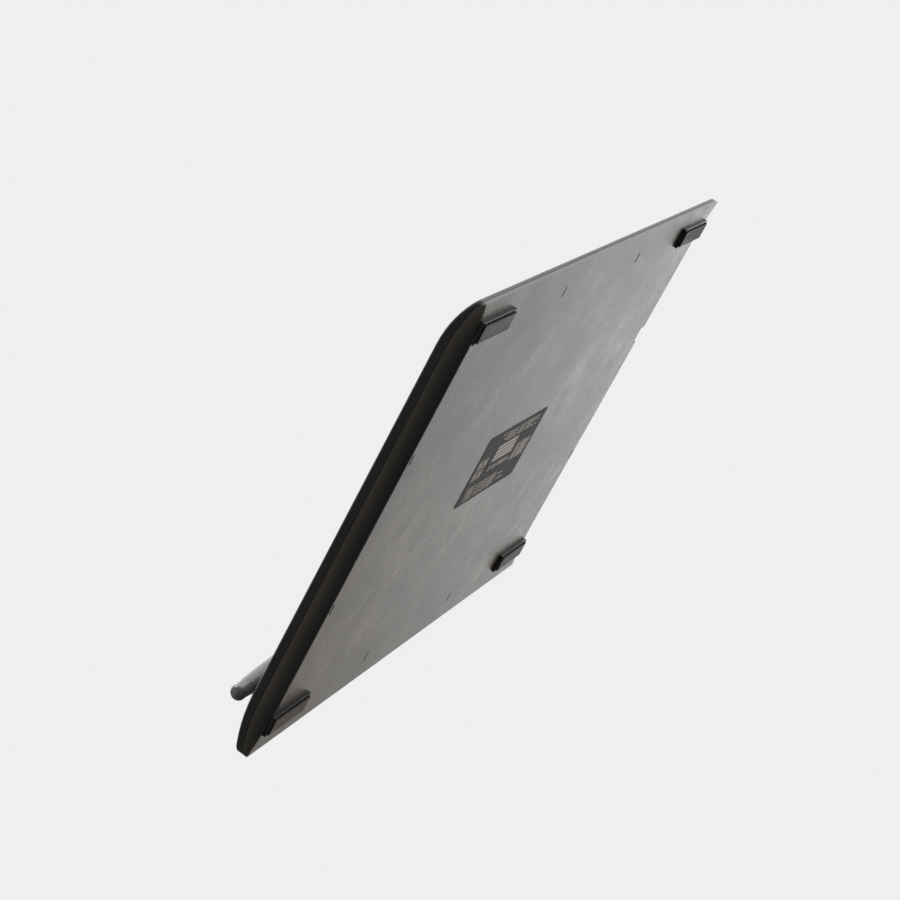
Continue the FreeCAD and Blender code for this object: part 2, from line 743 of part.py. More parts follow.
controller_block = centred("controller_block", controller_x, "port_row",
                           "controller_length", "controller_depth",
                           ("socket_top", "socket_top + board_thick"))
controller_bores = [rod(f"controller_bore_{n}", "small_screw_radius + 0.1", x, y,
                        ("socket_top - 1", "socket_top + board_thick + 1"))
                    for n, (x, y) in enumerate(controller_spots)]
keep(less("controller_cut", controller_block, controller_bores), "controller_board")
keep(plate_body("controller_chip", controller_x, "port_row + chip_from_port",
                "socket_top - chip_height", "chip_side", "chip_side", "chip_height"),
     "controller_chip")

socket_shell = block("socket_shell", ("port_wall", "port_wall + socket_length"),
                     ("port_row - socket_width / 2", "port_row + socket_width / 2"),
                     ("socket_top - socket_height", "socket_top"))
socket_mouth = block("socket_mouth", ("port_wall - 1", "port_wall + socket_length - 1"),
                     ("port_row - socket_width / 2 + 0.3", "port_row + socket_width / 2 - 0.3"),
                     ("socket_top - socket_height + 0.3", "socket_top - 0.3"))
socket_tongue = block("socket_tongue", ("port_wall + 0.6", "port_wall + socket_length - 0.9"),
                      ("port_row - socket_width / 2 + 1.6", "port_row + socket_width / 2 - 1.6"),
                      ("socket_top - 1.1", "socket_top - 0.5"))
keep(joined("usb_socket_all", [less("socket_hollow", socket_shell, [socket_mouth]),
                               socket_tongue]), "cable_socket")


def ribbon(label, run, width, row):
    """A flat cable: a thin band that follows a run of (along, height) corners."""
    owner = body(label)
    above = [(a, f"{z} + flex_thick") for a, z in reversed(run)]
    sketch = outline(owner, label + "_edge", list(run) + above, "XZ_Plane")
    item = pad(owner, label + "_band", sketch, width)
    item.Midplane = True
    return put(owner, "0", row, "0")


board_top = "socket_top + board_thick"
controller_right = "port_wall + wall + controller_length"
keep(ribbon("sensor_cable", [
    (f"{controller_right} - 2.5", board_top), (f"{controller_right} + 0.1", board_top),
    (f"{sensor_left} + 0.4", "board_low - flex_thick"),
    (f"{sensor_left} + 4", "board_low - flex_thick")], "flex_width", "port_row"), "sensor_cable")

key_board_block = centred("key_board_block", "0", "key_row", key_board_width, key_board_depth,
                          ("key_board_top - key_board_thick", "key_board_top"))
keep(key_board_block, "key_board")
domes = [rod(f"dome_{n}", "dome_radius", x, "key_row", ("key_board_top", "key_board_top + dome_height"))
         for n, x in enumerate(key_places)]
keep(grouped("domes", domes), "key_domes")
keep(plate_body("status_led", "0", "key_row", "key_board_top", "1.6", "0.8", "0.6"), "status_led")
keep(joined("light_pipe_all", [
    rod("pipe_rod", "pipe_radius", "0", "key_row", ("key_board_top + 0.8", "face")),
    rod("pipe_flange", "pipe_radius + 0.9", "0", "key_row", ("ceiling - 0.8", "ceiling"))]),
    "light_pipe")

# ---- tablet: express keys -----------------------------------------------------------------


def express_key(label, x):
    """A cap in its window, a flange under the shell that holds it in, and a stem to its dome."""
    cap = centred(label + "_cap", x, "key_row", "key_width", "key_depth",
                  ("flange_low", "face + key_proud"))
    doc.recompute()
    cap_corners = rounded(label + "_cap_corners", cap, upright_edges(cap.Shape), "1.2")
    doc.recompute()
    cap_round = rounded(label + "_cap_round", cap_corners, top_edges(cap_corners.Shape), "0.35")
    flange = centred(label + "_flange", x, "key_row", "key_width + 2 * key_flange",
                     "key_depth + 2 * key_flange", ("flange_low", "ceiling - fit_clear"))
    stem = rod(label + "_stem", "stem_radius", x, "key_row",
               ("flange_low - stem_length", "flange_low"))
    return joined(label + "_all", [cap_round, flange, stem])


for number, place in enumerate(key_places, start=1):
    keep(express_key(f"express_key_{number}", place), f"express_key_{number}")

# ---- tablet: screws -----------------------------------------------------------------------


def screw(label, x, y, seat, up, radius, head_radius, head, length):
    """A slotted screw whose head rests on seat, above it where up is 1 and below it where -1."""
    def span(start, end):
        return (f"{seat} + {start}", f"{seat} + {end}") if up > 0 else (
            f"{seat} - {end}", f"{seat} - {start}")
    shank = rod(label + "_shank", radius, x, y, span(f"(-({length}))", "0"))
    cap = rod(label + "_head", head_radius, x, y, span("0", f"({head})"))
    slot = centred(label + "_slot", x, y, f"{head_radius} * 1.2", f"{head_radius} * 0.35",
                   span(f"({head} * 0.4)", f"({head} + 1)"))
    return less(label, joined(label + "_solid", [shank, cap]), [slot])


keep(grouped("cover_screw_set", [
    screw(f"cover_screw_{n}", x, y, "head_seat", -1, "screw_radius",
          "screw_head_radius", "screw_head_thick", "screw_length - fit_clear")
    for n, (x, y) in enumerate(foot_spots)]), "cover_screws")
keep(grouped("board_screw_set", [
    screw(f"board_screw_{n}", x, y, board_top, 1, "small_screw_radius", "small_head_radius",
          "small_head_thick", "board_thick + 1.6")
    for n, (x, y) in enumerate(controller_spots)]), "board_screws")

# ---- pen ----------------------------------------------------------------------------------

joint = "pen_length - nib_out - pen_nose_length - pen_grip_length"      # between the barrels
nose = "pen_length - nib_out - pen_nose_length"
tip = "pen_length - nib_out"
cap_radius = "pen_tail_radius + 0.25"
cap_inner = "pen_tail_radius - pen_wall"

keep(turned("pen_tail_cap", [
    ("0", "0", "(pen_tail_radius - pen_end_round) ^ 2 / (2 * pen_end_dome) + pen_end_dome / 2"),
    ("pen_end_dome", "pen_tail_radius - pen_end_round", "pen_end_round * 1.05"),
    ("pen_end_dome + pen_end_round", "pen_tail_radius"),
    ("pen_cap_length", cap_radius), ("pen_cap_length", cap_inner),
    ("pen_cap_length + 5", cap_inner), ("pen_cap_length + 5", "0")]), "pen_tail_cap")
keep(turned("pen_rear_barrel", [
    ("pen_cap_length + pen_seam", f"{cap_inner} + fit_clear"),
    ("pen_cap_length + pen_seam", cap_radius, "rear_arc"),
    (f"{joint} - pen_seam / 2", "pen_waist_radius"),
    (f"{joint} - pen_seam / 2", "bore + 0.7"),
    (f"{joint} - 8", "bore + 0.7"), (f"{joint} - 8", "bore"),
    ("pen_length * 0.3", "bore - 1.2"),
    ("pen_cap_length + 6", f"{cap_inner} + fit_clear")]), "pen_rear_barrel")

barrel = turned("front_barrel_turned", [
    (f"{joint} - 7.6", "bore"), (f"{joint} - 7.6", "bore + 0.6"),
    (f"{joint} + pen_seam / 2", "bore + 0.6"),
    (f"{joint} + pen_seam / 2", "pen_waist_radius", "grip_rear_arc"),
    (f"{joint} + pen_grip_length * 0.45", "pen_radius", "grip_front_arc"),
    (nose, "pen_nose_base", "nose_arc"),
    (tip, "pen_nose_radius"), (tip, "nib_radius + nib_clear"),
    (f"{tip} - 5", "nib_radius + nib_clear"), (f"{tip} - 8", "coil_radius + 0.1"),
    (nose, "coil_radius + 0.1"), (f"{nose} - 3", "bore")])
rocker_mid = f"pen_x - ({joint}) - rocker_back - rocker_length / 2"
rocker_low = "pen_z + pen_radius + rocker_proud - rocker_thick"
pivot = "pen_z + bore + 0.1"
pivot_reach = "rocker_width / 2 + rocker_gap + 0.35"


def crosswise(label, radius, reach):
    """A cylinder along Y through the rocker's pivot."""
    item = doc.addObject("Part::Cylinder", label)
    bind(item, "Radius", radius)
    bind(item, "Height", f"2 * ({reach})")
    return put(item, rocker_mid, f"pen_y + {reach}", pivot, FreeCAD.Rotation(V(1, 0, 0), 90))


rocker_slot = centred("rocker_slot", rocker_mid, "pen_y", "rocker_length + 2 * rocker_gap",
                      "rocker_width + 2 * rocker_gap",
                      ("pen_z + bore - 0.6", "pen_z + pen_radius + 2"))
pivot_hole = crosswise("pivot_hole", "pivot_radius + fit_clear", f"{pivot_reach} + fit_clear")
keep(less("front_barrel_cut", barrel, [rocker_slot, pivot_hole]), "pen_front_barrel")

rocker_block = centred("rocker_block", rocker_mid, "pen_y", "rocker_length", "rocker_width",
                       (rocker_low, "pen_z + pen_radius + rocker_proud"))
doc.recompute()
rocker_ends = rounded("rocker_ends", rocker_block, upright_edges(rocker_block.Shape),
                      "rocker_width / 2 - 0.05")
doc.recompute()
rocker_round = rounded("rocker_round", rocker_ends, top_edges(rocker_ends.Shape), "0.5")
fulcrum = centred("fulcrum", rocker_mid, "pen_y", "2", "rocker_width - 0.2",
                  (f"{pivot} - pivot_radius - 0.15", f"{rocker_low} + 0.2"))
keep(joined("side_switch_all", [rocker_round, fulcrum,
                                crosswise("pivot_pin", "pivot_radius", pivot_reach)]),
     "pen_side_switch")

keep(turned("pen_nib", [
    (f"pen_length - nib_length", "0"), (f"pen_length - nib_length", "nib_radius"),
    ("pen_length - 0.6", "nib_radius"), ("pen_length - 0.15", "nib_radius * 0.6"),
    ("pen_length", "nib_radius * 0.2"), ("pen_length", "0")]), "pen_nib")
keep(turned("pen_coil", [
    (f"{tip} - 9 - coil_length", "nib_radius + nib_clear"),
    (f"{tip} - 9 - coil_length", "coil_radius"),
    (f"{tip} - 9", "coil_radius"), (f"{tip} - 9", "nib_radius + nib_clear")]), "pen_coil")
sensor_end = "pen_length - nib_length - nib_travel - 0.1"
keep(turned("pen_pressure_sensor", [
    (f"{sensor_end} - sensor_length", "0"), (f"{sensor_end} - sensor_length", "bore - 0.1"),
    (f"{sensor_end}", "bore - 0.1"), (f"{sensor_end}", "0")]), "pen_pressure_sensor")
board_end = f"{sensor_end} - sensor_length"
keep(centred("pen_board_block", f"pen_x - ({board_end}) + pen_board_length / 2", "pen_y",
             "pen_board_length", "pen_board_width",
             ("pen_z - pen_board_thick / 2", "pen_z + pen_board_thick / 2")), "pen_circuit_board")
switches = []
for number, sign in enumerate((-1, 1)):
    middle = f"{rocker_mid} + {sign} * rocker_length / 3"
    case = centred(f"switch_case_{number}", middle, "pen_y", "3", "3",
                   ("pen_z + pen_board_thick / 2", "pen_z + bore - 1.6"))
    button = rod(f"switch_button_{number}", "0.7", middle, "pen_y",
                 ("pen_z + bore - 1.7", "pen_z + bore"))
    switches.append(joined(f"switch_{number}", [case, button]))
keep(grouped("switch_set", switches), "pen_switches")

# ---- check and write ----------------------------------------------------------------------

doc.recompute()
failed = [o.Label for o in doc.Objects if "Invalid" in o.State or "Error" in o.State]
if failed:
    raise RuntimeError(f"these did not build: {failed}")
os.makedirs("parts", exist_ok=True)
for part in parts:
    shape = part.Shape
    if shape.isNull() or not shape.isValid():
        raise RuntimeError(f"{part.Label} has no valid shape")
    shape.exportStep(f"parts/{part.Label}.step")
    box = shape.BoundBox
    print(f"{part.Label:22s} solids {len(shape.Solids)}  volume {shape.Volume:10.1f}"
          f"  x {box.XMin:8.2f} {box.XMax:8.2f}  y {box.YMin:8.2f} {box.YMax:8.2f}"
          f"  z {box.ZMin:6.2f} {box.ZMax:6.2f}")
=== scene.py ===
import json
import math

import bpy
import numpy as np
from mathutils import Matrix, Vector


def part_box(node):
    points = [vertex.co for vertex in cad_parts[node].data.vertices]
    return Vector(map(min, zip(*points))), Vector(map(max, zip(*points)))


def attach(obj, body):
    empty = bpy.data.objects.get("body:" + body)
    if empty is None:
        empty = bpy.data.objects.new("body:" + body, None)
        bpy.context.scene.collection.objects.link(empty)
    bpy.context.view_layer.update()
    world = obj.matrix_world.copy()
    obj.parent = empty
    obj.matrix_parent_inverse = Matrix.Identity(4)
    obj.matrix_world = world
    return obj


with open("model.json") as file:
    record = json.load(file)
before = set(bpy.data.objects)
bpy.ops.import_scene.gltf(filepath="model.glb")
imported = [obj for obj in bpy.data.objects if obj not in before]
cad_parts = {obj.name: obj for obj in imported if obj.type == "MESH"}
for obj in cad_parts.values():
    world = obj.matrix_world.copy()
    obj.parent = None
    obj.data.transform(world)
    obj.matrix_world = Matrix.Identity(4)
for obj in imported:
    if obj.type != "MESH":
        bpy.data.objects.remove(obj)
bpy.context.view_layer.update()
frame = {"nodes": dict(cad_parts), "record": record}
print("tablet and pen loaded:", len(frame["nodes"]), "nodes")


# Shader sockets that add up like numbers

class Sock:
    # wraps one output socket; each operator adds a Math node to the same material
    def __init__(self, kit, out):
        self.kit, self.out = kit, out

    def math(self, kind, *others):
        return self.kit.node("ShaderNodeMath", {"operation": kind}, {0: self, **{
            place + 1: other for place, other in enumerate(others)}})

    def __add__(self, other):
        return self.math("ADD", other)

    __radd__ = __add__

    def __mul__(self, other):
        return self.math("MULTIPLY", other)

    __rmul__ = __mul__

    def __sub__(self, other):
        return self.math("SUBTRACT", other)

    def __rsub__(self, other):
        return (self * -1.0) + other

    def __truediv__(self, other):
        return self.math("DIVIDE", other)

    def __abs__(self):
        return self.math("ABSOLUTE")

    def over(self, limit):
        return self.math("GREATER_THAN", limit)

    def under(self, limit):
        return self.math("LESS_THAN", limit)

    def least(self, other):
        return self.math("MINIMUM", other)

    def most(self, other):
        return self.math("MAXIMUM", other)

    def clamp(self):
        return self.most(0.0).least(1.0)

    def ramp(self, low, high):
        # 0 at low, 1 at high, straight between
        return ((self - low) / (high - low)).clamp()


class Finish:
    # one material being put together
    def __init__(self, name):
        self.material = bpy.data.materials.new(name)
        self.material.use_nodes = True
        self.tree = self.material.node_tree
        self.tree.nodes.clear()
        self.surface = self.tree.nodes.new("ShaderNodeBsdfPrincipled")
        end = self.tree.nodes.new("ShaderNodeOutputMaterial")
        self.tree.links.new(self.surface.outputs[0], end.inputs["Surface"])

    def node(self, kind, settings=None, values=None, out=0):
        made = self.tree.nodes.new(kind)
        for key, value in (settings or {}).items():
            setattr(made, key, value)
        for key, value in (values or {}).items():
            place = made.inputs[key]
            if isinstance(value, Sock):
                self.tree.links.new(value.out, place)
            else:
                place.default_value = value
        return Sock(self, made.outputs[out])

    def place(self):
        return self.node("ShaderNodeTexCoord", out="Object")

    def axes(self):
        parts = self.node("ShaderNodeSeparateXYZ", values={0: self.place()})
        node = parts.out.node
        return [Sock(self, node.outputs[number]) for number in range(3)]

    def noise(self, scale, detail=3.0, rough=0.55, stretch=(1, 1, 1)):
        # clouds of the given scale per metre, 0 to 1
        at = self.node("ShaderNodeMapping", values={0: self.place(), "Scale": stretch})
        return self.node("ShaderNodeTexNoise", values={
            "Vector": at, "Scale": scale, "Detail": detail, "Roughness": rough})

    def cells(self, scale):
        # distance to the nearest of many scattered points
        return self.node("ShaderNodeTexVoronoi", values={"Vector": self.place(), "Scale": scale})

    def blend(self, share, low, high):
        # from colour low to colour high as share goes from 0 to 1
        def full(colour):
            return colour if isinstance(colour, Sock) else (*colour, 1.0)
        mixed = self.node("ShaderNodeMix", {"data_type": "RGBA"}, {
            0: share, 6: full(low), 7: full(high)}, out=2)
        return mixed

    def put(self, socket, value):
        # a colour of three parts gets an alpha of 1
        place = self.surface.inputs[socket]
        if isinstance(value, Sock):
            self.tree.links.new(value.out, place)
        else:
            colour = isinstance(value, tuple) and len(value) == 3
            place.default_value = (*value, 1.0) if colour else value

    def bump(self, height, strength, depth, over=None):
        # over is a normal that the bump is laid on
        values = {"Height": height, "Strength": strength, "Distance": depth}
        if over is not None:
            values["Normal"] = over
        self.put("Normal", self.node("ShaderNodeBump", values=values))


wearLook = {
    # scales are per metre; a share is of a cell's width; a range is where clouds go from 0 to 1
    "smudge": 18.0, "smudgeRange": (0.45, 0.72), "broken": 3.1, "brokenRange": (0.3, 0.7),
    "speck": 900.0, "speckShare": 0.09, "speckCloud": 42.0, "speckRange": (0.48, 0.66),
    "line": 900.0, "shorten": 0.016, "crest": 0.735, "crestWidth": 0.05, "next": 1.13,
    "lineCloud": 31.0, "lineRange": (0.46, 0.60),
}


def smudges(finish, look=wearLook):
    # broad soft patches where hands have been, broken up by finer clouds, 0 to 1
    broad = finish.noise(look["smudge"], 4.0, 0.6).ramp(*look["smudgeRange"])
    fine = finish.noise(look["smudge"] * look["broken"], 3.0, 0.6).ramp(*look["brokenRange"])
    return broad * fine


def dust(finish, scale=wearLook["speck"], share=wearLook["speckShare"], look=wearLook):
    # scattered specks, thinned out by broad clouds
    clouds = finish.noise(look["speckCloud"], 2.0).ramp(*look["speckRange"])
    return finish.cells(scale).under(share) * clouds


def scratches(finish, turn, scale, crest, look=wearLook):
    # hair-thin lines: the crests of clouds drawn out 1 / shorten times along one way
    turned = finish.node("ShaderNodeMapping", values={
        0: finish.place(), "Rotation": (0.0, 0.0, turn)})
    at = finish.node("ShaderNodeMapping", values={0: turned, "Scale": (look["shorten"], 1.0, 1.0)})
    lines = finish.node("ShaderNodeTexNoise", values={
        "Vector": at, "Scale": scale, "Detail": 0.0, "Roughness": 0.4})
    clouds = finish.noise(look["lineCloud"], 2.0).ramp(*look["lineRange"])
    return lines.ramp(crest, crest + look["crestWidth"]) * clouds


def hairlines(finish, turns, scale=wearLook["line"], crest=wearLook["crest"], look=wearLook):
    # families of scratches at different turns, each after the first finer by the factor next
    marks = scratches(finish, turns[0], scale, crest)
    for turn in turns[1:]:
        marks = marks.most(scratches(finish, turn, scale * look["next"], crest))
    return marks


# Front shell, keys and cover: moulded plastic with a fine spark-eroded grain

plasticLook = {
    # what every moulded piece shares: the share of each mark, its colour, its scratches' lines, and
    # how much painted shade darkens the leaning walls
    "touched": 0.35, "specks": 0.5, "speck": (0.32, 0.31, 0.30),
    "marks": 0.15, "mark": (0.16, 0.16, 0.16), "line": 700.0, "crest": 0.76, "deepen": 0.8,
    # roughness: how far it drifts, how much hands take off and specks add
    "drift": 0.10, "polished": 0.08, "dusty": 0.3,
}
shellLook = {
    "colour": (0.016, 0.0162, 0.0168), "light": (0.025, 0.0252, 0.026), "grain": 2600.0,
    "rough": 0.42, "bump": 0.22, "depth": 0.00003, "shine": 0.4,
}


def mouldedPlastic(name, look):
    # colour = clouds (1 - share) + mottle share, with a grain bump, smudges that shine and specks
    # that don't
    made = Finish(name)
    plastic = plasticLook
    clouds = made.noise(look.get("cloud", 34.0), 5.0, 0.6).ramp(0.3, 0.7)
    mottle = made.noise(look.get("mottle", 700.0), 3.0, 0.65).ramp(0.36, 0.64)
    share = look.get("mottled", 0.5)
    colour = made.blend(clouds * (1 - share) + mottle * share, look["colour"], look["light"])
    specks = dust(made)
    marks = hairlines(made, (0.5,), plastic["line"], plastic["crest"])
    touched = smudges(made)
    colour = made.blend(touched * plastic["touched"], colour, look["light"])
    colour = made.blend(specks * plastic["specks"], colour, plastic["speck"])
    colour = made.blend(marks * plastic["marks"], colour, plastic["mark"])
    bent = None
    if "cove" in look:
        bent, depth = covedSides(made, look)
        # painted shade: depth is how far in along a leaning wall, and the wall's colour is darkened
        # towards the plate by it
        colour = made.blend(depth * plastic["deepen"], colour, look["deep"])
    made.put("Base Color", colour)
    drift = (made.noise(70.0, 3.0) - 0.5) * plastic["drift"]
    drift = drift + (mottle - 0.5) * look.get("uneven", 0.06)
    rough = look["rough"] + drift - touched * plastic["polished"] + specks * plastic["dusty"]
    made.put("Roughness", rough.clamp())
    grain = made.noise(look["grain"], 2.0, 0.5) + made.cells(look["grain"] * 0.6) * 0.4
    made.bump(grain - marks * 0.3, look["bump"], look["depth"], bent)
    made.surface.inputs["Specular IOR Level"].default_value = look.get("shine", 0.5)
    return made.material


def covedSides(made, look):
    # the leaning side walls are slightly hollow: their normal turns by cove (1 - 2 inward), where
    # inward goes from 0 at the rim to 1 at the flat plate, and by edge more within rounding of the
    # plate; the second result is inward, on the walls only, and sets the painted shade that darkens
    # the walls towards the plate
    x, y, z = made.axes()
    normal = made.node("ShaderNodeNewGeometry", out="Normal")
    parts = made.node("ShaderNodeSeparateXYZ", values={0: normal})
    onWall = abs(parts).over(look["steep"][0]) * abs(parts).under(look["steep"][1])
    inward = (look["half"] - abs(x)).ramp(0.0, look["reach"])
    rounding = z.ramp(look["plate"] + look["rounding"], look["plate"])
    turn = ((1.0 - inward * 2.0) * look["cove"] + rounding * look["edge"]) * onWall
    tilt = made.node("ShaderNodeCombineXYZ", values={
        0: x.math("SIGN") * turn * -look["along"][0], 2: turn * -look["along"][1]})
    bent = made.node("ShaderNodeVectorMath", {"operation": "ADD"}, {0: normal, 1: tilt})
    return made.node("ShaderNodeVectorMath", {"operation": "NORMALIZE"}, {0: bent}), inward * onWall


coverLook = {
    "colour": (0.026, 0.0245, 0.023), "light": (0.042, 0.040, 0.038),
    # the third colour here is painted shade, darkening the leaning walls towards the plate
    "deep": (0.010, 0.0095, 0.009), "grain": 1300.0, "rough": 0.30, "bump": 0.5, "depth": 0.00006,
    "cloud": 20.0, "mottle": 560.0, "mottled": 0.3, "uneven": 0.03,
    # the walls: half the width, their reach inwards, the plate's height, and the line down a wall
    "cove": 0.24, "edge": 0.45, "half": 0.132, "reach": 0.0094, "plate": 0.0018, "rounding": 0.0005,
    "along": (0.89, 0.45),
    # a wall is where the sideways part of the normal is between these
    "steep": (0.2, 0.8),
}
keyLook = {
    "colour": (0.016, 0.0165, 0.0175), "light": (0.024, 0.0245, 0.026), "grain": 3000.0,
    "rough": 0.34, "bump": 0.12, "depth": 0.00002, "cloud": 60.0,
}


# Drawing sheet: paper-like tooth, with corner marks round the active area

sheetLow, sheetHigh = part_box("drawing_sheet")
sheetLook = {
    "colour": (0.013, 0.0133, 0.014), "light": (0.019, 0.0193, 0.0203), "mark": (0.42, 0.42, 0.43),
    "length": 0.007, "line": 0.0004, "rough": 0.62, "border": 0.004, "shine": 0.25,
    # pen strokes: their turns, lines per metre, crest and colour
    "turns": (0.9, -0.5, 0.2, 1.4), "stroke": 2000.0, "crest": 0.72, "rubbed": (0.12, 0.12, 0.125),
    "speck": 1100.0, "speckShare": 0.07, "specks": (0.3, 0.3, 0.3),
}
sheetLook["half"] = [
    (high - low) / 2 - sheetLook["border"] for low, high in zip(sheetLow, sheetHigh)]
sheetLook["middle"] = (sheetLow[1] + sheetHigh[1]) / 2


def paperTooth(name, look):
    # corner brackets: on the border line in both directions and close to a corner
    made = Finish(name)
    x, y, z = made.axes()
    fromX = abs(x) - look["half"][0]
    fromY = abs(y - look["middle"]) - look["half"][1]
    inside = fromX.under(look["line"]) * fromY.under(look["line"])
    onX = abs(fromX).under(look["line"]) * fromY.over(-look["length"])
    onY = abs(fromY).under(look["line"]) * fromX.over(-look["length"])
    marks = onX.most(onY) * inside
    clouds = made.noise(30.0, 5.0, 0.62).ramp(0.3, 0.7)
    strokes = hairlines(made, look["turns"], look["stroke"], look["crest"])
    worn = made.noise(14.0, 3.0).ramp(0.48, 0.75)
    colour = made.blend(clouds, look["colour"], look["light"])
    colour = made.blend(strokes * 0.09, colour, look["rubbed"])
    specks = dust(made, look["speck"], look["speckShare"])
    colour = made.blend(specks * 0.4, colour, look["specks"])
    colour = made.blend(marks * 0.9, colour, look["mark"])
    made.put("Base Color", colour)
    rough = look["rough"] - worn * 0.12 - strokes * 0.1 + (made.noise(240.0, 2.0) - 0.5) * 0.08
    made.put("Roughness", rough.clamp())
    tooth = made.noise(4200.0, 2.0, 0.6) + made.noise(1500.0, 2.0, 0.5) * 0.5
    made.bump(tooth, 0.25, 0.00003)
    made.surface.inputs["Specular IOR Level"].default_value = look["shine"]
    return made.material


# Rating label: dark film with plain pale bars and blocks in place of its print

labelLook = {
    "film": (0.018, 0.0175, 0.017), "print": (0.62, 0.61, 0.60), "silver": 0.75, "shine": 0.22,
    # bars: middle x, middle y, half length, in metres from the tablet's middle; bar is their
    # half width
    "bars": [(-0.0045, 0.0146, 0.0195), (-0.0065, 0.0133, 0.0175), (-0.0020, 0.0120, 0.0150),
             (-0.0080, 0.0107, 0.0160), (0.0085, -0.0092, 0.0165), (0.0060, -0.0106, 0.0190),
             (0.0100, -0.0120, 0.0145), (0.0045, -0.0134, 0.0200), (0.0110, -0.0148, 0.0135),
             (0.0020, -0.0020, 0.0110), (0.0010, -0.0034, 0.0120)],
    "bar": 0.0003,
    # one pale patch with dark lines across it, and one barred with stripes
    "patch": (0.0020, 0.0050, 0.0105, 0.0042), "stripes": (-0.0195, -0.0010, 0.0075, 0.0045),
    "icons": [(0.0205, 0.0030), (0.0255, 0.0030), (0.0205, -0.0025), (0.0255, -0.0025)],
    # an icon is a ring, outer less inner, round a core: half sizes of the three
    "outer": (0.0020, 0.0022), "inner": (0.0016, 0.0018), "core": (0.0008, 0.0012),
    "scratch": (0.3, 0.3, 0.3), "turns": (0.6, 2.0),
}


def printedFilm(name, look):
    # a mark is where both distances to its middle are under its half sizes
    made = Finish(name)
    x, y, z = made.axes()

    def patch(midX, midY, halfX, halfY):
        return abs(x - midX).under(halfX) * abs(y - midY).under(halfY)

    # bars are broken into words by clouds drawn out across them
    words = made.noise(620.0, 1.0, 0.4, (1.0, 0.02, 1.0)).over(0.44)
    bars = None
    for bar in look["bars"]:
        strip = patch(*bar, look["bar"])
        bars = strip if bars is None else bars.most(strip)
    marks = bars * words
    for midX, midY in look["icons"]:
        ring = patch(midX, midY, *look["outer"]) - patch(midX, midY, *look["inner"])
        marks = marks.most(ring).most(patch(midX, midY, *look["core"]))
    thin = (y * 470.0).math("FRACT").over(0.32)
    marks = marks.most(patch(*look["patch"]) * thin.most(0.25))
    coarse = made.noise(1500.0, 1.0, 0.4, (1.0, 0.0, 0.0)).over(0.5)
    marks = marks.most(patch(*look["stripes"]) * coarse)
    paler = tuple(part * 1.4 for part in look["film"])
    colour = made.blend(made.noise(60.0, 3.0).ramp(0.3, 0.7), look["film"], paler)
    colour = made.blend(marks * 0.9, colour, look["print"])
    colour = made.blend(hairlines(made, look["turns"]) * 0.3, colour, look["scratch"])
    made.put("Base Color", colour)
    # the ink is silvery
    made.put("Metallic", marks * look["silver"])
    made.put("Roughness", (0.46 + made.noise(90.0, 3.0) * 0.12 - marks * 0.1).clamp())
    made.bump(made.noise(700.0, 2.0) + marks * 0.3, 0.08, 0.00003)
    made.surface.inputs["Specular IOR Level"].default_value = look["shine"]
    return made.material


# Rubber feet, pen finishes, metals and boards

rubberLook = {
    # the sole's colour is paler partly from desk wear and partly as painted sheen
    "colour": (0.020, 0.019, 0.0185), "sole": (0.075, 0.062, 0.055), "grit": (0.28, 0.27, 0.26),
    "rough": 0.72, "shine": 0.30, "speck": 1500.0, "speckShare": 0.12,
    # heights between which the sole's colour comes in
    "low": (0.00015, 0.00005),
}


def deskRubber(name, look):
    # paler and browner on the sole, partly wear from the desk and partly painted sheen, and where
    # scuffed; with fine pits
    made = Finish(name)
    x, y, z = made.axes()
    sole = z.ramp(*look["low"])
    scuffs = made.noise(130.0, 4.0, 0.65, (0.35, 1.0, 1.0)).ramp(0.38, 0.66)
    pits = made.cells(2200.0).under(0.16)
    colour = made.blend((sole * 0.75 + scuffs * 0.3).clamp(), look["colour"], look["sole"])
    specks = dust(made, look["speck"], look["speckShare"])
    colour = made.blend(specks * 0.6, colour, look["grit"])
    made.put("Base Color", colour)
    made.put("Roughness", (look["rough"] + scuffs * 0.12 - sole * 0.30).clamp())
    made.bump(made.noise(1800.0, 2.0) - pits * 0.4, 0.3, 0.00005)
    made.surface.inputs["Specular IOR Level"].default_value = look["shine"]
    return made.material


metalLook = {
    # colour, roughness, and how much the fine lines are drawn out along each axis
    "rolledAluminium": ((0.72, 0.72, 0.73), 0.34, (0.05, 1.0, 1.0)),
    "tinnedSteel": ((0.66, 0.66, 0.67), 0.28, (1.0, 0.1, 1.0)),
    "pressedSteel": ((0.68, 0.67, 0.65), 0.26, (1.0, 1.0, 1.0)),
    "blackenedSteel": ((0.16, 0.16, 0.165), 0.42, (1.0, 1.0, 1.0)),
}


def plainMetal(name):
    # turned or rolled metal: fine lines along one way and a few dull patches
    colour, rough, brush = metalLook[name]
    made = Finish(name)
    lines = made.noise(1400.0, 2.0, 0.6, brush)
    dull = made.noise(160.0, 3.0).ramp(0.45, 0.7)
    dark = tuple(part * 0.72 for part in colour)
    made.put("Base Color", made.blend(dull * 0.5 + lines * 0.3, colour, dark))
    made.put("Metallic", 1.0)
    made.put("Roughness", (rough + dull * 0.15 + (lines - 0.5) * 0.1).clamp())
    made.bump(lines, 0.12, 0.00002)
    return made.material


boardLook = {
    "mask": (0.012, 0.075, 0.036), "overTrack": (0.0228, 0.1425, 0.0684), "pad": (0.62, 0.55, 0.36),
    "tracks": 420.0, "track": 0.28, "pads": 260.0, "padShare": 0.14,
}


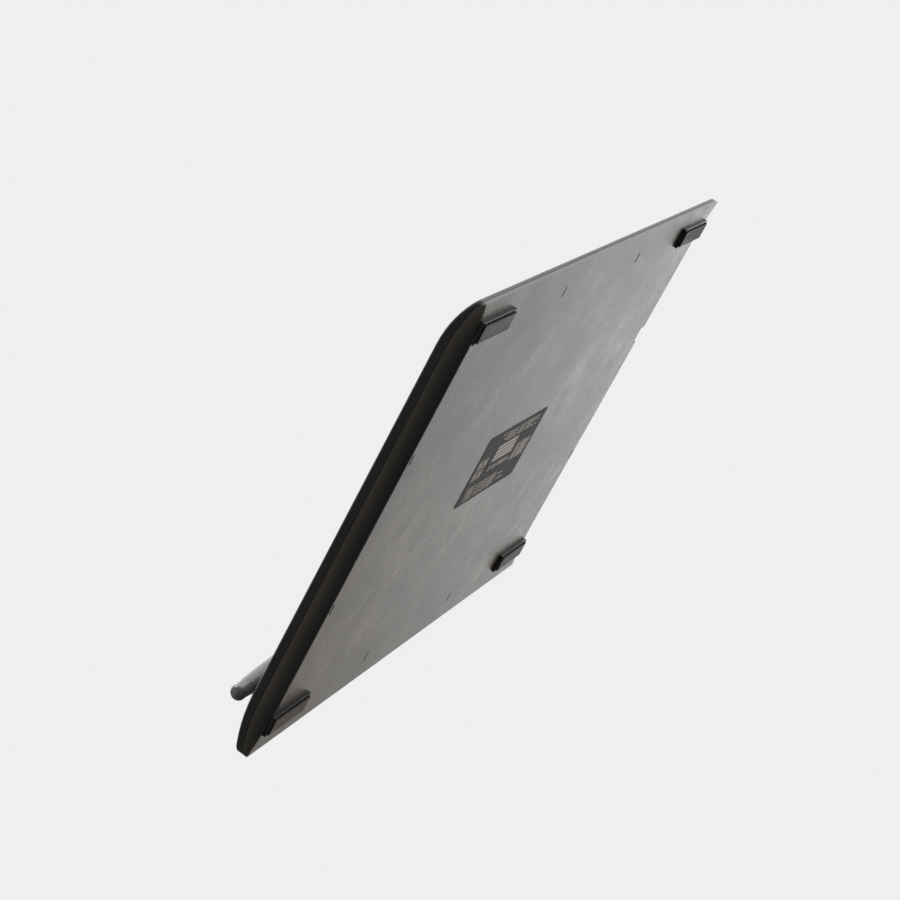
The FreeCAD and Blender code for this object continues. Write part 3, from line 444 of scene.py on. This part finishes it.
def circuitBoard(name, look):
    # lacquer over fine straight tracks, with bright pads here and there
    made = Finish(name)
    x, y, z = made.axes()
    across = (x * look["tracks"]).math("FRACT").under(look["track"])
    along = (y * look["tracks"]).math("FRACT").under(look["track"])
    tracks = across.most(along * made.noise(90.0, 1.0).over(0.55))
    pads = made.cells(look["pads"]).under(look["padShare"])
    colour = made.blend(tracks * 0.6, look["mask"], look["overTrack"])
    colour = made.blend(pads, colour, look["pad"])
    made.put("Base Color", colour)
    made.put("Metallic", pads * 0.9)
    made.put("Roughness", (0.36 + made.noise(300.0, 2.0) * 0.14).clamp())
    made.bump(tracks + pads * 0.6, 0.15, 0.00003)
    return made.material


clearLook = {"tint": (0.82, 0.85, 0.88), "through": 0.35, "index": 1.49}


def clearPlastic(name, look):
    # faintly cloudy and partly see-through
    made = Finish(name)
    cloudy = tuple(part * 0.86 for part in look["tint"])
    made.put("Base Color", made.blend(made.noise(600.0, 2.0), look["tint"], cloudy))
    made.put("Roughness", (0.16 + made.noise(900.0, 2.0) * 0.08).clamp())
    made.surface.inputs["Transmission Weight"].default_value = look["through"]
    made.surface.inputs["IOR"].default_value = look["index"]
    made.bump(made.noise(1200.0, 2.0), 0.04, 0.00002)
    return made.material


penLook = {
    "colour": (0.085, 0.086, 0.091), "light": (0.160, 0.161, 0.168), "grain": 1900.0,
    "rough": 0.38, "bump": 0.35, "depth": 0.00006,
    "cloud": 120.0, "mottle": 900.0, "mottled": 0.75, "uneven": 0.12,
}
gripLook = {
    "colour": (0.018, 0.018, 0.019), "light": (0.030, 0.030, 0.031), "grain": 2400.0,
    "rough": 0.62, "bump": 0.30, "depth": 0.00004, "cloud": 60.0, "shine": 0.35,
}
capLook = {
    "colour": (0.130, 0.131, 0.138), "light": (0.150, 0.151, 0.158), "grain": 3600.0,
    "rough": 0.10, "bump": 0.03, "depth": 0.00001, "cloud": 90.0,
}
switchLook = {
    "colour": (0.012, 0.012, 0.013), "light": (0.018, 0.018, 0.019), "grain": 3200.0,
    "rough": 0.24, "bump": 0.06, "depth": 0.00001, "cloud": 90.0,
}
dullLook = {
    "colour": (0.012, 0.012, 0.013), "light": (0.020, 0.020, 0.021), "grain": 2800.0,
    "rough": 0.5, "bump": 0.15, "depth": 0.00002, "cloud": 90.0,
}
filmLook = {
    "colour": (0.30, 0.13, 0.02), "light": (0.42, 0.20, 0.04), "grain": 1800.0,
    "rough": 0.32, "bump": 0.08, "depth": 0.00002, "cloud": 90.0,
}

finishes = {
    "shell": mouldedPlastic("shellPlastic", shellLook),
    "cover": mouldedPlastic("coverPlastic", coverLook),
    "keys": mouldedPlastic("keyPlastic", keyLook),
    "sheet": paperTooth("drawingSheet", sheetLook),
    "label": printedFilm("printedLabel", labelLook),
    "feet": deskRubber("deskRubber", rubberLook),
    "board": circuitBoard("lacqueredBoard", boardLook),
    "shield": plainMetal("rolledAluminium"),
    "chip": mouldedPlastic("chipCase", dullLook),
    "socket": plainMetal("tinnedSteel"),
    "flex": mouldedPlastic("cableFilm", filmLook),
    "domes": plainMetal("pressedSteel"),
    "led": clearPlastic("lampCase", clearLook),
    "pipe": clearPlastic("lightPipePlastic", clearLook),
    "screws": plainMetal("blackenedSteel"),
    "pen_cap": mouldedPlastic("penCapGloss", capLook),
    "pen_body": mouldedPlastic("penBodyPlastic", penLook),
    "pen_grip": mouldedPlastic("penGripRubber", gripLook),
    "pen_switch": mouldedPlastic("sideSwitchGloss", switchLook),
    "nib": mouldedPlastic("nibPlastic", dullLook),
    "ferrite": mouldedPlastic("ferriteCore", dullLook),
}
for entry in frame["record"]["subparts"]:
    mesh = frame["nodes"][entry["node"]].data
    mesh.materials.clear()
    mesh.materials.append(finishes[entry["material_slot"]])
print("finishes:", len(finishes))


# Raised dots that tell the two middle keys by touch

dotLook = {
    "keys": (2, 3), "radius": 0.0007, "height": 0.00035, "round": 36, "rings": 10, "sunk": 0.0001,
}


def raisedDot(number, look):
    # a low dome: z = height cos(a), r = radius sin(a), a from near the crown to the foot, then a
    # short skirt; one many-sided face closes the crown
    low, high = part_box(f"express_key_{number}")
    middle = [(low[axis] + high[axis]) / 2 for axis in range(2)]
    angle = np.linspace(0.0, math.pi / 2, look["rings"])[1:]
    radius = np.append(look["radius"] * np.sin(angle), look["radius"])
    level = np.append(look["height"] * np.cos(angle), -look["sunk"])
    about = np.linspace(0.0, 2 * math.pi, look["round"], endpoint=False)
    x = middle[0] + np.outer(radius, np.cos(about))
    y = middle[1] + np.outer(radius, np.sin(about))
    z = np.repeat((high[2] + level)[:, None], look["round"], axis=1)
    points = np.stack([x, y, z], axis=-1).reshape(-1, 3)
    rings, turns = np.meshgrid(np.arange(len(level) - 1), np.arange(look["round"]), indexing="ij")
    after = (turns + 1) % look["round"]
    upper, lower = rings * look["round"], (rings + 1) * look["round"]
    faces = np.stack([upper + turns, lower + turns, lower + after, upper + after], axis=-1)
    faces = faces.reshape(-1, 4)
    mesh = bpy.data.meshes.new(f"keyDot{number}")
    crown = list(range(look["round"]))
    mesh.from_pydata(points.tolist(), [], faces.tolist() + [crown])
    mesh.shade_smooth()
    mesh.materials.append(finishes["keys"])
    dot = bpy.data.objects.new(f"keyDot{number}", mesh)
    bpy.context.scene.collection.objects.link(dot)
    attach(dot, f"key_{number}")


for number in dotLook["keys"]:
    raisedDot(number, dotLook)
print("raised dots:", len(dotLook["keys"]))


# Floor, light and camera

stageLook = {
    "floor": (0.40, 0.40, 0.395), "rough": 0.9, "size": 6.0, "fade": 0.5, "drop": 0.0002,
    "plain": (0.86, 0.865, 0.87), "from": (-0.668, 0.071, 0.744), "strength": 2.4,
    # what a warmth of 1 takes off red, green and blue
    "warm": (0.0, 0.09, 0.18),
    # name, place, what it points at, width, power
    "lamps": [("overhead", (-0.4, 0.7, 1.3), (0, 0, 0), 1.2, 4.0),
              ("small bright panel", (0.38, 0.50, 1.04), (0.12, -0.08, 0.0), 0.16, 6.5)],
    # place from straight away from the light to straight towards it, level, warmth
    "glow": [(0.10, 0.045, 1.0), (0.30, 0.08, 1.0), (0.60, 0.12, 1.0), (0.682, 0.13, 1.0),
             (0.702, 0.33, 1.0), (0.715, 0.54, 0.3), (0.735, 1.0, 0.0), (0.80, 0.95, 0.0),
             (0.93, 0.60, 0.0)],
}


def paleFloor(look):
    # the floor shows only from above, fades out with the distance r = sqrt(x^2 + y^2) from the
    # tablet, and lets the light from below reach the tablet's back; it lies drop below the soles
    made = Finish("paleFloor")
    made.put("Base Color", look["floor"])
    made.put("Roughness", look["rough"])
    half = look["size"] / 2
    x, y, z = made.axes()
    away = (x * x + y * y).math("SQRT").ramp(look["fade"], half)
    face = made.node("ShaderNodeNewGeometry", out="Backfacing").most(away)
    clear = made.node("ShaderNodeBsdfTransparent")
    solid = Sock(made, made.surface.outputs[0])
    mixed = made.node("ShaderNodeMixShader", values={0: face, 1: solid, 2: clear})
    end = next(n for n in made.tree.nodes if n.type == "OUTPUT_MATERIAL")
    made.tree.links.new(mixed.out, end.inputs["Surface"])
    corners = [(across * half, along * half, -look["drop"])
               for across, along in ((-1, -1), (1, -1), (1, 1), (-1, 1))]
    mesh = bpy.data.meshes.new("floor")
    mesh.from_pydata(corners, [], [(0, 1, 2, 3)])
    mesh.materials.append(made.material)
    floor = bpy.data.objects.new("floor", mesh)
    bpy.context.scene.collection.objects.link(floor)
    floor.visible_diffuse = False
    floor.visible_glossy = False
    floor.visible_transmission = False
    floor.visible_shadow = False


def softLight(name, at, towards, size, power):
    data = bpy.data.lights.new(name, "AREA")
    data.shape, data.size, data.energy = "DISK", size, power
    lamp = bpy.data.objects.new(name, data)
    bpy.context.scene.collection.objects.link(lamp)
    lamp.location = at
    lamp.rotation_euler = (Vector(towards) - Vector(at)).to_track_quat("-Z", "Y").to_euler()


def paleRoom(look):
    # plain to the eye; as a light it is bright behind the tablet and dim on the near side, by
    # (1 + cos a) / 2, where a is the angle between the way looked and the light's direction
    made = bpy.data.worlds.new("paleRoom")
    made.use_nodes = True
    tree = made.node_tree
    tree.nodes.clear()
    way = tree.nodes.new("ShaderNodeTexCoord")
    along = tree.nodes.new("ShaderNodeVectorMath")
    along.operation = "DOT_PRODUCT"
    along.inputs[1].default_value = Vector(look["from"]).normalized()
    half = tree.nodes.new("ShaderNodeMath")
    half.operation = "MULTIPLY_ADD"
    half.inputs[1].default_value, half.inputs[2].default_value = 0.5, 0.5
    ramp = tree.nodes.new("ShaderNodeValToRGB")
    stops = ramp.color_ramp.elements
    while len(stops) < len(look["glow"]):
        stops.new(0.5)
    for stop, (at, level, warmth) in zip(stops, look["glow"]):
        stop.position = at
        stop.color = (*[level * (1 - warmth * less) for less in look["warm"]], 1.0)
    glow = tree.nodes.new("ShaderNodeBackground")
    glow.inputs["Strength"].default_value = look["strength"]
    plain = tree.nodes.new("ShaderNodeBackground")
    plain.inputs["Color"].default_value = (*look["plain"], 1.0)
    ray = tree.nodes.new("ShaderNodeLightPath")
    mixed = tree.nodes.new("ShaderNodeMixShader")
    end = tree.nodes.new("ShaderNodeOutputWorld")
    links = [
        (way.outputs["Generated"], along.inputs[0]), (along.outputs["Value"], half.inputs[0]),
        (half.outputs[0], ramp.inputs[0]), (ramp.outputs[0], glow.inputs["Color"]),
        (ray.outputs["Is Camera Ray"], mixed.inputs[0]), (glow.outputs[0], mixed.inputs[1]),
        (plain.outputs[0], mixed.inputs[2]), (mixed.outputs[0], end.inputs[0]),
    ]
    for source, target in links:
        tree.links.new(source, target)
    bpy.context.scene.world = made


paleFloor(stageLook)
paleRoom(stageLook)
bpy.context.scene.view_settings.view_transform = "Standard"
for lamp in stageLook["lamps"]:
    softLight(*lamp)
print("floor and", len(stageLook["lamps"]), "lights")

cameraLook = {
    # right, up and forward are unit vectors square to each other
    "at": (0.8046, 0.3572, -0.1814), "right": (-0.40195, 0.43381, -0.80638),
    "up": (-0.22933, 0.80489, 0.54733), "forward": (-0.88648, -0.40492, 0.22404),
    "lens": 89.92, "sensor": 36.0, "clip": (0.01, 50.0),
}
lensData = bpy.data.cameras.new("camera")
lensData.lens, lensData.sensor_width = cameraLook["lens"], cameraLook["sensor"]
lensData.clip_start, lensData.clip_end = cameraLook["clip"]
camera = bpy.data.objects.new("camera", lensData)
bpy.context.scene.collection.objects.link(camera)
backward = [-part for part in cameraLook["forward"]]
turn = Matrix([cameraLook["right"], cameraLook["up"], backward]).transposed()
camera.matrix_world = (Matrix.Translation(cameraLook["at"])
                       @ turn.to_quaternion().to_matrix().to_4x4())
bpy.context.scene.camera = camera
print("camera placed")
